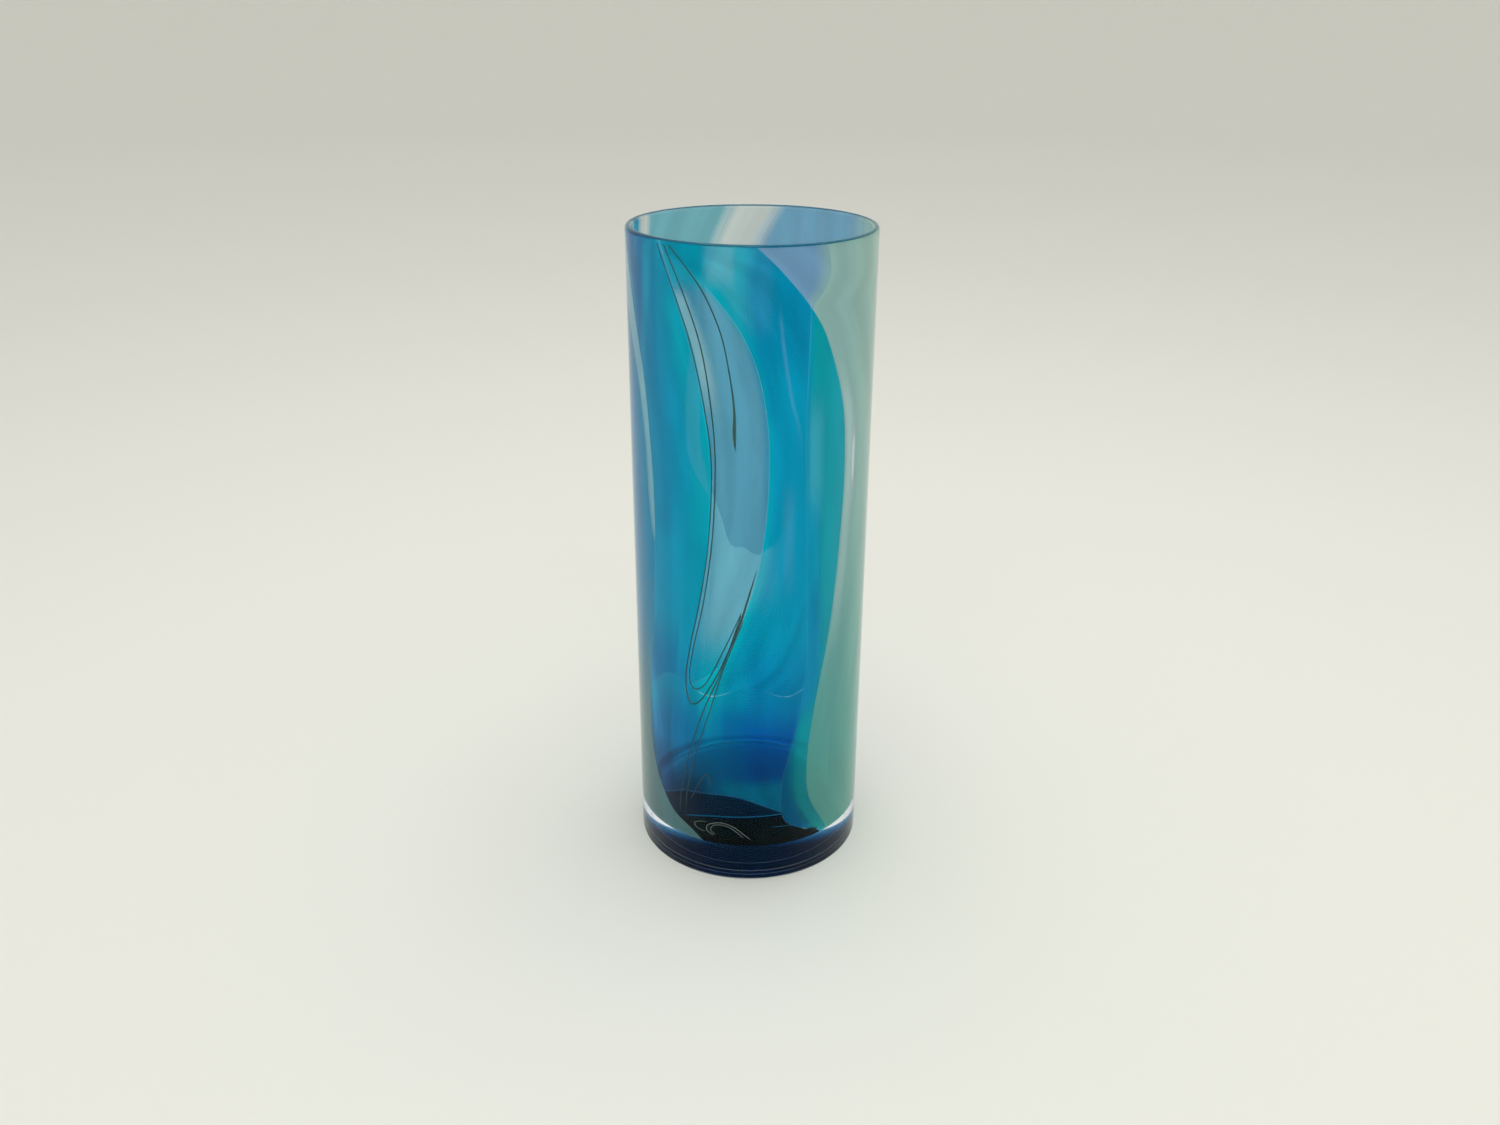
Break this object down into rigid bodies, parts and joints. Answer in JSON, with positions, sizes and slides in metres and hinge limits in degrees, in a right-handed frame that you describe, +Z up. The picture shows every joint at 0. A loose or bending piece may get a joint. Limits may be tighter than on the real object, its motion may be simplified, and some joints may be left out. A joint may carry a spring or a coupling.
{
  "type": "hand blown art glass vase",
  "caption": "Tall straight cylinder vase of cased glass on a thick clear foot, with a blue S-shaped band, opal side panels and fine dark threads.",
  "frame": {"origin": "centre of the foot's underside, on the surface that the vase stands on", "axes": "+Z up along the vase's axis, -Y towards the front, where the blue band is, +X to the right"},
  "size_m": [0.09, 0.09, 0.25],
  "materials": {
    "clear_glass": "polished clear glass, faint green at the edges",
    "cobalt_glass": "transparent deep blue glass",
    "turquoise_glass": "transparent turquoise glass",
    "azure_glass": "transparent light blue glass",
    "lavender_opal": "half opal grey-lavender glass",
    "emerald_glass": "half opal green-teal glass",
    "midnight_glass": "near black green-blue glass",
    "jade_opal": "opal mint-jade glass",
    "periwinkle_opal": "opal lavender-blue glass",
    "white_opal": "opal white glass",
    "seafoam_opal": "opal pale teal glass",
    "celadon_opal": "opal grey-mint glass",
    "stringer_glass": "dark green-black glass thread",
    "smoke_glass": "pale smoke-grey glass thread"
  },
  "bodies": {
    "root": {"clear_casing": "clear_glass", "clear_liner": "clear_glass", "cobalt_floor": "cobalt_glass", "turquoise_band": "turquoise_glass", "azure_band": "azure_glass", "lavender_veil": "lavender_opal", "emerald_fringe": "emerald_glass", "cobalt_pool": "cobalt_glass", "midnight_heel": "midnight_glass", "jade_panel": "jade_opal", "lavender_shoulder": "lavender_opal", "periwinkle_panel": "periwinkle_opal", "white_ribbon": "white_opal", "seafoam_panel": "seafoam_opal", "white_streak": "white_opal", "sky_panel": "periwinkle_opal", "white_edge": "white_opal", "celadon_panel": "celadon_opal", "stringer_outer_loop": "stringer_glass", "stringer_inner_loop": "stringer_glass", "stringer_streak": "stringer_glass", "stringer_tails": "stringer_glass", "stringer_hook": "stringer_glass", "heel_curls": "smoke_glass"}
  },
  "joints": []
}
